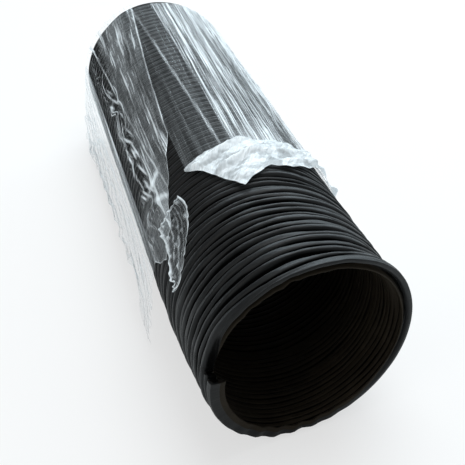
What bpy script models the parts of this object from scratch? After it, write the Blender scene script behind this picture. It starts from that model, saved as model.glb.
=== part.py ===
"""Flexible vacuum hose, packed short: a spring-steel wire helix laid between a plain liner and a
ribbed cover, with a torn wrap of stretch film holding the rear of it squeezed together.

Metres, +Z up. The hose lies along Y on the plane Z = 0, with its open cut end towards -Y.
X = 0 is its middle plane, and Y = 0 is a rib of the underside near the middle of its length.
The front of the hose is free of film. There it leans, its pleats packed closer at the lower +X
side, and it is parted at flat planes, a turn at a time, so that each turn can slide forward and
tilt, and the pleats open like a bellows.
"""

import math

import bmesh
import bpy
import numpy as np
from mathutils import Vector

# The hose: a 16-sided section with a flat at the bottom. Radii are those of its corners.
SIDES = 16
BEAD_RADIUS = 0.0550  # rib over the wire
PLEAT_RADIUS = 0.0546  # rib of folded fabric between two turns of wire
GROOVE_RADIUS = 0.0531
COVER_BORE = 0.0524
LINER_RADIUS = 0.0502
LINER_BORE = 0.0495
WIRE_THICKNESS = 0.0016
WIRE_TRACK = 0.0512
FREE_PITCH = 0.00885  # from wire to wire where no film holds the hose
WRAPPED_PITCH = 0.0077  # from wire to wire under the film
FREE_TURNS = 16
TURNS = 49
BEAD_PHASE = 0.27  # where in each turn's pitch the wire lies
GROOVE_PHASE = 0.50
PLEAT_PHASE = 0.76
FLAT_DEPTH = 0.0005  # how far the ribs are pressed flat where they stand
PARTING_GAP = 0.0003

# The parts of the hose that move: the front one holds the cut end and two turns.
MOVING_PARTS = 7
FRONT_TURNS = 2
LEAN_YAW = math.radians(11)  # how far the cut end has turned towards +X
LEAN_PITCH = math.radians(10)  # and how far its top leans forward

# The film, drawn thicker than the real one so that it is a solid.
FILM_RADIUS = 0.0562
FILM_THICKNESS = 0.0005
FILM_WAVE = 0.0009
CRUMPLE_WAVE = 0.0030
TAIL_CURL = 0.0014
SLIT = math.radians(1.5)
SLEEVE_START = 0.1276  # all film lengths run from the hose's cut end
GATHER_EDGE = (0.116, 0.077, 0.090, 0.107, 0.118)  # from the slit round to +X
STRIP_EDGE = (0.091, 0.073, 0.086, 0.126, 0.168)  # from the -X side up to the slit
SKIRT_EDGE = 0.101
TAIL_ANGLES = (50, 49, 51, 57, 67, 77)  # degrees from the top, root to tip
TAIL_LENGTHS = (0.091, 0.075, 0.060, 0.050, 0.045, 0.057)
TAIL_HALF_WIDTHS = (0.0062, 0.0068, 0.0060, 0.0048, 0.0040, 0.0012)
TAIL_LIFTS = (0.0002, 0.0026, 0.0022, 0.0026, 0.0030, 0.0012)
SLEEVE_RIGHT = math.radians(-155)
SLEEVE_LEFT = math.radians(33)
GATHER_RIGHT = math.radians(-80)
STRIP_LEFT = math.radians(81)
SKIRT_TOP = math.radians(81.5)
SKIRT_FLARE = 0.0036
SKIRT_CLEARANCE = 0.0005
FILM_END = 0.0015  # how far the film reaches past the hose

STEP = 2 * math.pi / SIDES
FIRST_COLUMN = -4.5 * STEP  # angle of the cut end's step, from the bottom towards +X
AXIS_HEIGHT = BEAD_RADIUS * math.cos(STEP / 2) - FLAT_DEPTH
PROFILE = (
    (0.0, GROOVE_RADIUS),
    (BEAD_PHASE, BEAD_RADIUS),
    (GROOVE_PHASE, GROOVE_RADIUS),
    (PLEAT_PHASE, PLEAT_RADIUS),
)
ROWS = len(PROFILE)


def advance(turn):
    """How far the helix has run along the hose after this many turns."""
    free = min(turn, FREE_TURNS)
    return free * FREE_PITCH + (turn - free) * WRAPPED_PITCH


BOTTOM_PHASE = 4.5 / SIDES
MIDDLE_TURN = 23
CUT_END = -advance(MIDDLE_TURN + BEAD_PHASE + BOTTOM_PHASE)
FAR_END = CUT_END + advance(TURNS)
LEAN_LENGTH = advance(FRONT_TURNS + MOVING_PARTS - 1)
FREE_END = CUT_END + LEAN_LENGTH


def start_scene():
    for item in list(bpy.data.objects):
        bpy.data.objects.remove(item)


def material(name, colour, roughness, metallic=0.0, alpha=1.0):
    finish = bpy.data.materials.new(name)
    finish.use_nodes = True
    shader = finish.node_tree.nodes["Principled BSDF"]
    shader.inputs["Base Color"].default_value = (*colour, 1.0)
    shader.inputs["Roughness"].default_value = roughness
    shader.inputs["Metallic"].default_value = metallic
    shader.inputs["Alpha"].default_value = alpha
    return finish


def straight(column, radius, y):
    """A point of the straight hose: columns count round from the step, bottom, +X, top, -X."""
    angle = FIRST_COLUMN + column * STEP
    return Vector((radius * math.sin(angle), y, AXIS_HEIGHT - radius * math.cos(angle)))


def lean_at(y):
    """The middle, +X side and upright directions of the section that leans from y."""
    share = max(FREE_END - y, 0) / LEAN_LENGTH
    yaw = LEAN_YAW * share
    pitch = LEAN_PITCH * share
    bend_radius = LEAN_LENGTH / LEAN_YAW
    along = max(y, FREE_END) - bend_radius * math.sin(yaw)
    middle = Vector((bend_radius * (1 - math.cos(yaw)), along, AXIS_HEIGHT))
    side = Vector((math.cos(yaw), math.sin(yaw), 0))
    forward = Vector((math.sin(yaw), -math.cos(yaw), 0))
    upright = Vector((0, 0, math.cos(pitch))) + math.sin(pitch) * forward
    return middle, side, upright


def leaning(point):
    """Where a point of the straight hose lies on the hose that leans."""
    middle, side, upright = lean_at(point.y)
    return middle + point.x * side + (point.z - AXIS_HEIGHT) * upright


def around(column, radius, y):
    return leaning(straight(column, radius, y))


def on_film(angle, y, radius):
    """A point of the film and its outward direction: angles run from the top towards -X."""
    outward = Vector((-math.sin(angle), 0, math.cos(angle)))
    return Vector((0, y, AXIS_HEIGHT)) + radius * outward, outward


def new_object(name, mesh, finish, parent=None):
    piece = bpy.data.objects.new(name, mesh)
    bpy.context.scene.collection.objects.link(piece)
    if finish:
        mesh.materials.append(finish)
    mesh.shade_smooth()
    mesh.set_sharp_from_angle(angle=math.radians(32))
    if parent:
        piece.parent = parent
        piece.matrix_parent_inverse = parent.matrix_world.inverted()
    return piece


def finished_mesh(name, bm):
    bmesh.ops.recalc_face_normals(bm, faces=bm.faces[:])
    mesh = bpy.data.meshes.new(name)
    bm.to_mesh(mesh)
    bm.free()
    return mesh


def ribbed_rod(name, first_turn, last_turn):
    """A solid rod with the cover's ribs wound round it. Its ends are the ends of the wound strip,
    so each has a step one pitch deep."""
    bm = bmesh.new()
    starts = [
        (turn + phase, radius)
        for turn in range(first_turn, last_turn)
        for phase, radius in PROFILE
    ]
    grid = [
        [
            bm.verts.new(around(column, radius, CUT_END + advance(start + column / SIDES)))
            for column in range(SIDES)
        ]
        for start, radius in starts
    ]
    # The end of each row is the start of the row a turn further on.
    for row, (start, radius) in enumerate(starts):
        if row + ROWS < len(grid):
            grid[row].append(grid[row + ROWS][0])
        else:
            y = CUT_END + advance(start + 1)
            grid[row].append(bm.verts.new(around(SIDES, radius, y)))
    for row in range(len(grid) - 1):
        for column in range(SIDES):
            bm.faces.new(
                (
                    grid[row][column],
                    grid[row][column + 1],
                    grid[row + 1][column + 1],
                    grid[row + 1][column],
                )
            )
    front = grid[0][:] + [grid[row][0] for row in range(ROWS - 1, 0, -1)]
    back = grid[-1][:] + [grid[-1 - row][SIDES] for row in range(1, ROWS)]
    for loop, turn in ((front, first_turn + 0.5), (back, last_turn + 0.5)):
        middle = bm.verts.new(lean_at(CUT_END + advance(turn))[0])
        for corner, following in zip(loop, loop[1:] + loop[:1]):
            bm.faces.new((corner, following, middle))
    return finished_mesh(name, bm)


def plain_ring(name, inner, outer, start, end, floor=None):
    """A plain tube with the hose's section between two flat planes, cut off at the floor."""
    bm = bmesh.new()
    loops = []
    for radius, y in ((inner, start), (outer, start), (outer, end), (inner, end)):
        points = [straight(column, radius, y) for column in range(SIDES)]
        if floor is not None and radius == outer:
            for point in points:
                point.z = max(point.z, floor)
        loops.append([bm.verts.new(leaning(point)) for point in points])
    for loop, following in zip(loops, loops[1:] + loops[:1]):
        for column in range(SIDES):
            after = (column + 1) % SIDES
            bm.faces.new((loop[column], loop[after], following[after], following[column]))
    return finished_mesh(name, bm)


def stepped_ring(name, inner, outer, end):
    """A plain tube whose front follows the wound cut end, with its step, and whose back is flat."""
    bm = bmesh.new()
    front = [
        [
            bm.verts.new(around(column, radius, CUT_END + advance(column / SIDES)))
            for column in range(SIDES + 1)
        ]
        for radius in (inner, outer)
    ]
    back = [
        [bm.verts.new(around(column, radius, end)) for column in range(SIDES)]
        for radius in (inner, outer)
    ]
    for near, far in zip(front, back):
        bm.faces.new((near[0], near[SIDES], near[1]))
        bm.faces.new((near[SIDES], far[0], far[1], near[1]))
        for column in range(1, SIDES):
            after = (column + 1) % SIDES
            bm.faces.new((near[column], near[column + 1], far[after], far[column]))
    for column in range(SIDES):
        after = (column + 1) % SIDES
        bm.faces.new((front[0][column], front[1][column], front[1][column + 1], front[0][column + 1]))
        bm.faces.new((back[0][column], back[0][after], back[1][after], back[1][column]))
    bm.faces.new((front[0][0], front[0][SIDES], front[1][SIDES], front[1][0]))
    return finished_mesh(name, bm)


def wire_columns(start, end):
    """The first and last column of the helix whose wire lies wholly between two planes."""
    inside = [
        column
        for column in range(TURNS * SIDES)
        if start + WIRE_THICKNESS < wire_y(column) < end - WIRE_THICKNESS
    ]
    return inside[0], inside[-1]


def wire_y(column):
    return CUT_END + advance(BEAD_PHASE + column / SIDES)


def wire_mesh(name, first, last):
    """A stretch of the helix: one unbroken three-sided tube, with a corner at each column."""
    half = WIRE_THICKNESS / 2
    corners = [(half * math.cos(turn), half * math.sin(turn)) for turn in (0, 2.094, 4.189)]
    bm = bmesh.new()
    rings = [
        [
            bm.verts.new(around(column, WIRE_TRACK + out, wire_y(column) + along))
            for out, along in corners
        ]
        for column in range(first, last + 1)
    ]
    for ring, following in zip(rings, rings[1:]):
        for side in range(3):
            after = (side + 1) % 3
            bm.faces.new((ring[side], ring[after], following[after], following[side]))
    bm.faces.new(rings[0])
    bm.faces.new(rings[-1])
    return finished_mesh(name, bm)


def print_least_gap():
    """The least gap between the wire's turns, measured on the points that the wire runs through."""
    points = np.array(
        [around(column, WIRE_TRACK, wire_y(column)) for column in range((TURNS - 1) * SIDES)]
    )
    nearest = min(
        np.linalg.norm(points[SIDES // 2 :] - points[index], axis=1)[index:].min()
        for index in range(len(points) - SIDES // 2)
    )
    print(f"least gap between turns of the wire: {(nearest - WIRE_THICKNESS) * 1000:.2f} mm")


def hose_part(tag, first_turn, last_turn, start, end, finishes, wire_parent, skin_parent):
    """One length of hose between two planes: its cover, its liner and the wire between them."""
    start_plane = start + PARTING_GAP / 2
    end_plane = end - PARTING_GAP / 2
    at_cut_end = first_turn == 0
    cutter_start = start - FREE_PITCH if at_cut_end else start_plane
    cutter = new_object(
        f"{tag}_shape",
        plain_ring(f"{tag}_shape", COVER_BORE, 0.07, cutter_start, end_plane, floor=0.0),
        None,
        skin_parent,
    )
    cutter.hide_render = True
    cutter.display_type = "WIRE"
    rod_first = first_turn if at_cut_end else first_turn - 2
    cover = new_object(
        f"{tag}_cover",
        ribbed_rod(f"{tag}_cover", rod_first, last_turn + 1),
        finishes["cover"],
        skin_parent,
    )
    cut = cover.modifiers.new("part of the hose", "BOOLEAN")
    cut.operation = "INTERSECT"
    cut.object = cutter
    if at_cut_end:
        liner = stepped_ring(f"{tag}_liner", LINER_BORE, LINER_RADIUS, end_plane)
    else:
        liner = plain_ring(f"{tag}_liner", LINER_BORE, LINER_RADIUS, start_plane, end_plane)
    new_object(f"{tag}_liner", liner, finishes["liner"], skin_parent)
    first, last = wire_columns(start, end)
    if at_cut_end:
        first = 0
    new_object(f"{tag}_wire", wire_mesh(f"{tag}_wire", first, last), finishes["wire"], wire_parent)


def joint_empty(name, location, parent):
    empty = bpy.data.objects.new(name, None)
    bpy.context.scene.collection.objects.link(empty)
    empty.location = location
    empty.empty_display_size = 0.01
    if parent:
        bpy.context.view_layer.update()
        empty.parent = parent
        empty.matrix_parent_inverse = parent.matrix_world.inverted()
    bpy.context.view_layer.update()
    return empty


def free_front(finishes):
    """The parts that move, from the film forward. Each slides on the part behind it with its
    wire, and tilts about the upright line where the two touch at +X. The front one only slides."""
    behind = None
    edge = BEAD_RADIUS * math.cos(STEP / 2) + PARTING_GAP
    for part in range(MOVING_PARTS, 0, -1):
        last_turn = FRONT_TURNS + part - 1
        first_turn = 0 if part == 1 else last_turn - 1
        start = CUT_END + advance(first_turn)
        end = CUT_END + advance(last_turn)
        middle, side, _ = lean_at(end)
        slide = joint_empty(f"turn_{part}_slide", middle, behind)
        if part > 1:
            behind = joint_empty(f"turn_{part}_hinge", middle + edge * side, slide)
        else:
            behind = slide
        hose_part(f"turn_{part}", first_turn, last_turn, start, end, finishes, slide, behind)


def through(points, place):
    """A smooth curve through evenly spaced values: place runs from 0 to 1."""
    values = np.array(points, float)
    spans = len(values) - 1
    span = min(int(place * spans), spans - 1)
    part = place * spans - span
    before = values[max(span - 1, 0)]
    start = values[span]
    end = values[span + 1]
    after = values[min(span + 2, spans)]
    bend = 2 * before - 5 * start + 4 * end - after
    lean = 3 * start - before - 3 * end + after
    return float(start + 0.5 * part * (end - before + part * (bend + part * lean)))


def film_panel(name, columns, rows, place, finish):
    """A thin closed panel: place gives the inner face's point and the way out for (u, v)."""
    bm = bmesh.new()
    faces = []
    for lift in (0, FILM_THICKNESS):
        face = []
        for column in range(columns + 1):
            line = []
            for row in range(rows + 1):
                point, outward = place(column / columns, row / rows)
                line.append(bm.verts.new(point + lift * outward))
            face.append(line)
        faces.append(face)
    for face in faces:
        for column in range(columns):
            for row in range(rows):
                bm.faces.new(
                    (
                        face[column][row],
                        face[column + 1][row],
                        face[column + 1][row + 1],
                        face[column][row + 1],
                    )
                )
    rims = []
    for face in faces:
        edge = [face[column][0] for column in range(columns + 1)]
        edge += face[columns][1:]
        edge += [face[column][rows] for column in range(columns - 1, -1, -1)]
        edge += face[0][rows - 1 : 0 : -1]
        rims.append(edge)
    inner, outer = rims
    for index, corner in enumerate(inner):
        after = (index + 1) % len(inner)
        bm.faces.new((corner, inner[after], outer[after], outer[index]))
    return new_object(name, finished_mesh(name, bm), finish)


def mix(start, end, place):
    return start + (end - start) * place


def sleeve_place(u, v):
    """The sheet stretched over the top and down the +X side."""
    angle = mix(SLEEVE_LEFT, SLEEVE_RIGHT, u)
    y = CUT_END + mix(SLEEVE_START, advance(TURNS) + FILM_END, v)
    wave = 0.5 + 0.5 * math.sin(11 * angle + 5 * v)
    return on_film(angle, y, FILM_RADIUS + FILM_WAVE * wave)


def gather_place(u, v):
    """The torn and crumpled front of that sheet."""
    angle = mix(SLEEVE_LEFT, GATHER_RIGHT, u)
    y = CUT_END + mix(through(GATHER_EDGE, u), SLEEVE_START - PARTING_GAP, v)
    wave = 0.5 + 0.5 * math.sin(21 * angle + 9 * v) * math.cos(7 * angle - 4 * v)
    return on_film(angle, y, FILM_RADIUS + CRUMPLE_WAVE * wave * (1 - 0.6 * v))


def strip_place(u, v):
    """The strip that the tears left between the top and the -X side."""
    angle = mix(STRIP_LEFT, SLEEVE_LEFT + SLIT, u)
    y = CUT_END + mix(through(STRIP_EDGE, u), advance(TURNS) + FILM_END, v)
    wave = 0.5 + 0.5 * math.sin(17 * angle - 8 * v)
    return on_film(angle, y, FILM_RADIUS + FILM_WAVE * wave)


def skirt_place(u, v):
    """The loose film that hangs from the -X side to the floor."""
    top, _ = on_film(SKIRT_TOP, 0, FILM_RADIUS)
    front = mix(STRIP_EDGE[0], SKIRT_EDGE, u)
    y = CUT_END + mix(front, advance(TURNS) + FILM_END, v)
    wave = 0.5 + 0.5 * math.sin(23 * v + 3 * u)
    x = top.x - math.sqrt(u) * SKIRT_FLARE - u * FILM_WAVE * wave
    return Vector((x, y, mix(top.z, SKIRT_CLEARANCE, u))), Vector((-1, 0, 0))


def tail_place(u, v):
    """The loose tail in front of the strip: it runs towards the cut end and hooks down to -X."""
    ahead = min(v + 0.02, 1)
    behind = ahead - 0.02
    along_x = FILM_RADIUS * math.radians(through(TAIL_ANGLES, ahead) - through(TAIL_ANGLES, behind))
    along_y = through(TAIL_LENGTHS, ahead) - through(TAIL_LENGTHS, behind)
    offset = mix(-1, 1, u) * through(TAIL_HALF_WIDTHS, v) / math.hypot(along_x, along_y)
    angle = math.radians(through(TAIL_ANGLES, v)) - offset * along_y / FILM_RADIUS
    y = CUT_END + through(TAIL_LENGTHS, v) + offset * along_x
    radius = FILM_RADIUS + through(TAIL_LIFTS, v) + TAIL_CURL * mix(-1, 1, u) ** 2
    point, outward = on_film(angle, y, radius)
    return leaning(point), outward


def film(finish):
    film_panel("film_sleeve", 18, 10, sleeve_place, finish)
    film_panel("film_front_gather", 20, 5, gather_place, finish)
    film_panel("film_left_strip", 6, 12, strip_place, finish)
    film_panel("film_side_skirt", 5, 16, skirt_place, finish)
    film_panel("film_tail", 3, 15, tail_place, finish)


def main():
    start_scene()
    finishes = {
        "cover": material("black_coated_fabric", (0.012, 0.013, 0.015), 0.42),
        "liner": material("black_inner_fabric", (0.016, 0.014, 0.013), 0.6),
        "wire": material("spring_steel", (0.45, 0.45, 0.46), 0.35, metallic=1.0),
    }
    free_front(finishes)
    hose_part(
        "rear", FRONT_TURNS + MOVING_PARTS - 1, TURNS, FREE_END, FAR_END, finishes, None, None
    )
    film(material("clear_stretch_film", (0.86, 0.9, 0.94), 0.2, alpha=0.3))
    print_least_gap()


main()
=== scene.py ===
"""Visual model of a flexible vacuum hose that is packed short under torn stretch film.

The hose's wall is one wound grid, made by Geometry Nodes and leaned as the CAD part leans. It is
parted at the CAD part's planes, and the pieces between them cover the joints. The film is
five thin torn sheets. Lengths are in metres and named as in the part's source.
"""

import math

import bmesh
import bpy
import numpy as np
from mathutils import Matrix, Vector


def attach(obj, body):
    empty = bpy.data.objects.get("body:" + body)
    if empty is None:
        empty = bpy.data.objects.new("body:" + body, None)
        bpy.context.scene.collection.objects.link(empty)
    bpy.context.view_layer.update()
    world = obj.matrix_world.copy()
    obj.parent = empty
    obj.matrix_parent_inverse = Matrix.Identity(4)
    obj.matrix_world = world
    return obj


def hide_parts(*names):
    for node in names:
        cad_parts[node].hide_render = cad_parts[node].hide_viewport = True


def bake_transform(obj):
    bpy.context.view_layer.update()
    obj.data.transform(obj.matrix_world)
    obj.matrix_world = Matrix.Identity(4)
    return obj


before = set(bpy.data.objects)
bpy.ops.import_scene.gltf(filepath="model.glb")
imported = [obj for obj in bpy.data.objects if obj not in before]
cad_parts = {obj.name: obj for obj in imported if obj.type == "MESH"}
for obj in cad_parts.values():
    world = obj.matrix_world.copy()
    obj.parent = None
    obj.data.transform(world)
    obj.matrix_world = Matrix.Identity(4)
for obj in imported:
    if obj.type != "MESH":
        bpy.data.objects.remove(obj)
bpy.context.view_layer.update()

# The hose, as in the part's source.
SIDES = 16
BEAD_RADIUS = 0.0550  # rib over the wire
FLAT_DEPTH = 0.0005  # how far the ribs are pressed flat where they stand
AXIS_HEIGHT = BEAD_RADIUS * math.cos(math.pi / SIDES) - FLAT_DEPTH
FREE_PITCH = 0.00885  # from wire to wire where no film holds the hose
WRAPPED_PITCH = 0.0077  # from wire to wire under the film
FREE_TURNS = 16
TURNS = 49
MIDDLE_TURN = 23  # the turn at y = 0
BEAD_PHASE = 0.27  # where in each turn's pitch the wire lies
BOTTOM_PHASE = 4.5 / SIDES
FRONT_TURNS = 2  # turns in the part that holds the cut end
MOVING_PARTS = 7
LEAN_TURNS = FRONT_TURNS + MOVING_PARTS - 1
LEAN_YAW = math.radians(11)  # how far the cut end has turned towards +X
LEAN_PITCH = math.radians(10)  # and how far its top leans forward
FILM_END = 0.0015  # how far the film reaches past the hose
STEP_ANGLE = -math.radians(92)  # where the wound strip ends, from the bottom towards +X


def advance(turn):
    """How far the helix has run along the hose after this many turns."""
    free = min(turn, FREE_TURNS)
    return free * FREE_PITCH + (turn - free) * WRAPPED_PITCH


CUT_END = -advance(MIDDLE_TURN + BEAD_PHASE + BOTTOM_PHASE)
FAR_END = CUT_END + advance(TURNS)
LEAN_LENGTH = advance(LEAN_TURNS)
FREE_END = CUT_END + LEAN_LENGTH
SLIDE_LENGTH = 0.6 * FREE_PITCH  # the pleat of a turn, which its slide stretches
FILM_LENGTH = advance(TURNS) + FILM_END


# ---------------------------------------------------------------- node trees


class Signal:
    """One output of a node. Sums written on it add Math nodes to its tree."""

    def __init__(self, graph, node, output=0):
        self.graph = graph
        self.node = node
        self.socket = node.outputs[output]

    def out(self, output):
        return Signal(self.graph, self.node, output)

    def math(self, operation, *others):
        return self.graph.add("ShaderNodeMath", {"operation": operation}, (self, *others))

    def __add__(self, other):
        return self.math("ADD", other)

    __radd__ = __add__

    def __sub__(self, other):
        return self.math("SUBTRACT", other)

    def __rsub__(self, other):
        return self.math("MULTIPLY_ADD", -1.0, other)

    def __mul__(self, other):
        return self.math("MULTIPLY", other)

    __rmul__ = __mul__

    def __truediv__(self, other):
        return self.math("DIVIDE", other)

    def __pow__(self, other):
        return self.math("POWER", other)

    def sine(self):
        return self.math("SINE")

    def cosine(self):
        return self.math("COSINE")

    def clamped(self):
        return self.math("MINIMUM", 1.0).math("MAXIMUM", 0.0)

    def ramped(self, low, high):
        """0 below low, 1 above high, smooth between them."""
        settings = {"interpolation_type": "SMOOTHSTEP"}
        return self.graph.add("ShaderNodeMapRange", settings, (self, low, high, 0.0, 1.0))


class Graph:
    """A node tree with one method that adds any node."""

    def __init__(self, tree):
        self.tree = tree

    def add(self, kind, settings=None, inputs=(), output=0):
        node = self.tree.nodes.new(kind)
        for name, value in (settings or {}).items():
            setattr(node, name, value)
        pairs = inputs.items() if isinstance(inputs, dict) else enumerate(inputs)
        for key, value in pairs:
            if isinstance(value, Signal):
                self.tree.links.new(value.socket, node.inputs[key])
            else:
                node.inputs[key].default_value = value
        return Signal(self, node, output)

    def vector(self, x, y, z):
        return self.add("ShaderNodeCombineXYZ", {}, (x, y, z))

    def noise(self, place, scale=1.0, detail=2.0, roughness=0.5, distortion=0.0):
        inputs = {
            "Vector": place,
            "Scale": scale,
            "Detail": detail,
            "Roughness": roughness,
            "Distortion": distortion,
        }
        return self.add("ShaderNodeTexNoise", {"noise_dimensions": "3D"}, inputs)

    def colour_mix(self, share, first, second):
        colours = [c if isinstance(c, Signal) else (*c, 1.0) for c in (first, second)]
        inputs = {0: share, 6: colours[0], 7: colours[1]}
        return self.add("ShaderNodeMix", {"data_type": "RGBA"}, inputs, output=2)

    def attribute(self, name):
        return self.add("ShaderNodeAttribute", {"attribute_name": name}, output="Fac")


# ---------------------------------------------------------------- materials


def new_material(name):
    finish = bpy.data.materials.new(name)
    finish.use_nodes = True
    graph = Graph(finish.node_tree)
    return finish, graph, finish.node_tree.nodes["Principled BSDF"]


def link(graph, signal, shader, socket):
    graph.tree.links.new(signal.socket, shader.inputs[socket])


def add_bump(graph, shader, height, strength, distance):
    bump = graph.add(
        "ShaderNodeBump", {}, {"Height": height, "Strength": strength, "Distance": distance}
    )
    link(graph, bump, shader, "Normal")


BLOTCHES = 60.0  # a metre
CREASES_AROUND = 55.0
CREASES_A_TURN = 5.0
THREADS_AROUND = 3600.0
THREADS_A_TURN = 110.0
TWILL = 90.0  # how far the threads run aslant, once round
CREASE_HEIGHT = 0.0005
WEAVE_HEIGHT = 0.05  # share of the creases' height
BLOTCH_HEIGHT = 0.35


def coated_fabric(name, worn_colour, crest_colour, groove_shade_colour, crest_rough, groove_rough, shine):
    """Black coated fabric: fine weave under a satin coat, worn in blotches on the crests, dull in
    the grooves and darkened there by painted shade, with small creases across the ribs."""
    finish, graph, shader = new_material(name)
    round_part = graph.attribute("round")
    turn = graph.attribute("turn")
    sunk = graph.attribute("sunk")
    rest = graph.add("ShaderNodeAttribute", {"attribute_name": "rest"}, output="Vector")
    blotch = graph.noise(rest, BLOTCHES, 4.0, 0.6)
    crease_place = graph.vector(round_part * CREASES_AROUND, turn * CREASES_A_TURN, 0.0)
    crease = graph.noise(crease_place, 1.0, 3.0, 0.65, 0.6)
    weave_around = (round_part * THREADS_AROUND).sine()
    weave_along = (turn * THREADS_A_TURN + round_part * TWILL).sine()
    weave = weave_around * weave_along
    height = crease + weave * WEAVE_HEIGHT + blotch * BLOTCH_HEIGHT
    add_bump(graph, shader, height, 0.55, CREASE_HEIGHT)
    wear = (blotch.ramped(0.42, 0.72) * (1.0 - sunk)).clamped()
    # Painted shade: the grooves get a darker colour, standing in for the shade that falls in them.
    colour = graph.colour_mix(sunk.ramped(0.16, 0.40), crest_colour, groove_shade_colour)
    worn = graph.colour_mix(wear * 0.5, colour, worn_colour)
    link(graph, worn, shader, "Base Color")
    rough = crest_rough + sunk * (groove_rough - crest_rough) + (blotch - 0.5) * 0.22
    link(graph, rough.clamped(), shader, "Roughness")
    # Painted shade: the grooves are made a dark metal, which has no grey sheen at a flat angle, so
    # they stay black as if shaded.
    link(graph, sunk.ramped(0.2, 0.45) * 0.85, shader, "Metallic")
    shader.inputs["Specular IOR Level"].default_value = shine
    return finish


FILM_WHITE = (0.85, 0.91, 0.94, 1.0)
# Painted glow: the film emits a little light of its own, so that it looks white even in shade.
FILM_PAINTED_GLOW = (0.85, 0.94, 1.0, 1.0)
FILM_PAINTED_GLOW_STRENGTH = 0.12  # painted glow, standing in for light that passes through the milky film
CLEAREST = 0.004  # the least that the film covers what is under it


def stretch_film(
    name, across_scale, along_scale, width, slant=0.0, relief=0.001, sparse=0.0, short=1.8
):
    """Clear film that shows by its milky folds. The veil attribute says how white the film is
    throughout and the streak attribute how strongly its stretched lines show. The lines are
    noise, finer across than along, that is cut off sharply: width says how broad they are, from
    0 to 1, sparse how much narrower they get where they are strong, and short how much shorter
    the fine lines are than the long ones. The lines are partly the film's milky stretch marks and
    partly painted highlights: they follow the bump's ridges and stand in for glints on the
    wrinkles."""
    finish, graph, shader = new_material(name)
    coords = graph.add("ShaderNodeUVMap", {"uv_map": "film"})
    parts = graph.add("ShaderNodeSeparateXYZ", {}, (coords,))
    along = parts.out("Y")
    across = parts.out("X") + along * slant
    veil = graph.attribute("veil")
    streak_and_glint = graph.attribute("streak_and_glint")
    sway = graph.noise(graph.vector(across * 30.0, along * 16.0, 2.0), 1.0, 2.0, 0.5) - 0.5
    long_place = graph.vector(across * across_scale + sway * 1.6, along * along_scale, 0.0)
    long_lines = graph.noise(long_place, 1.0, 2.0, 0.55)
    fine_place = graph.vector(
        across * (across_scale * 2.3) + sway * 3.0, along * (along_scale * short), 5.0
    )
    fine_lines = graph.noise(fine_place, 1.0, 2.0, 0.55)
    broad_place = graph.vector(across * (across_scale * 0.25), along * (along_scale * 1.3), 9.0)
    broad = graph.noise(broad_place, 1.0, 2.0, 0.55)
    patch = broad.ramped(0.40, 0.60)
    edge = streak_and_glint * sparse + (0.5 + (1.0 - width) * 0.16)  # noise is seldom far from 0.5
    long_white = long_lines.ramped(edge, edge + 0.045)
    fine_white = fine_lines.ramped(edge, edge + 0.055)
    # Partly painted highlights: the bright lines also stand in for glints on the wrinkles.
    lines = (long_white * 0.85 + fine_white * 0.50) * (patch * 0.75 + 0.25)
    alpha = veil * (patch * 0.6 + 0.4) + streak_and_glint * lines + CLEAREST
    link(graph, alpha.clamped(), shader, "Alpha")
    shader.inputs["Base Color"].default_value = FILM_WHITE
    # Painted glow: the film emits light of its own.
    shader.inputs["Emission Color"].default_value = FILM_PAINTED_GLOW
    shader.inputs["Emission Strength"].default_value = FILM_PAINTED_GLOW_STRENGTH
    link(graph, (0.30 - lines * 0.12).clamped(), shader, "Roughness")
    height = long_lines + fine_lines * 0.5 + broad
    add_bump(graph, shader, height, 0.6, relief)
    shader.inputs["Specular IOR Level"].default_value = 0.5
    return finish


FLOOR_PALE = (0.94, 0.95, 0.95)
FLOOR_SPECK = (0.90, 0.92, 0.92)
FLOOR_GRAIN = 900.0
FLOOR_GLOW = 0.64  # share of plain white in what the camera sees of it


def floor_white(name):
    """White floor: it takes the object's shadow and otherwise shows white to the camera."""
    finish, graph, shader = new_material(name)
    shader.inputs["Roughness"].default_value = 0.6
    shader.inputs["Specular IOR Level"].default_value = 0.2
    coords = graph.add("ShaderNodeTexCoord", output="Object")
    grain = graph.noise(coords, FLOOR_GRAIN, 2.0, 0.5)
    white = graph.colour_mix(grain, FLOOR_SPECK, FLOOR_PALE)
    link(graph, white, shader, "Base Color")
    path = graph.add("ShaderNodeLightPath")
    camera = path.out("Is Camera Ray")
    glow = graph.add("ShaderNodeEmission", {}, {"Color": (1.0, 1.0, 1.0, 1.0), "Strength": 1.0})
    output = finish.node_tree.nodes["Material Output"]
    mixed = graph.add("ShaderNodeMixShader", {}, {0: camera * FLOOR_GLOW})
    graph.tree.links.new(shader.outputs[0], mixed.node.inputs[1])
    graph.tree.links.new(glow.socket, mixed.node.inputs[2])
    graph.tree.links.new(mixed.socket, output.inputs["Surface"])
    return finish


# ---------------------------------------------------------------- the wound wall

WALL_INPUTS = (
    ("First turn", "NodeSocketFloat"),
    ("Turns", "NodeSocketFloat"),
    ("Rows a turn", "NodeSocketFloat"),
    ("Columns", "NodeSocketFloat"),
    ("Lip rows", "NodeSocketFloat"),
    ("Rib radius", "NodeSocketFloat"),
    ("Bore radius", "NodeSocketFloat"),
    ("Groove depth", "NodeSocketFloat"),
    ("Inner groove depth", "NodeSocketFloat"),
    ("Unevenness", "NodeSocketFloat"),
    ("Finish", "NodeSocketMaterial"),
)

# How far the soft wall strays from a true wound shape.
SWELL = 0.0022  # slowly, over several turns
RIB_SWELL = 0.0016  # from rib to rib
PLY_SWELL = 0.0012
RIB_SHIFT = 0.0026  # along the hose
RIB_WAVE = 0.0012  # along the hose, in shorter waves
GROOVE_SWING = 2.4  # share of the groove's depth
CALM_FROM, CALM_TO = 9.5, 14.0  # turns between which the film begins to even the ribs out
CALMED = 0.65  # share of the unevenness that it takes away
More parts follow.
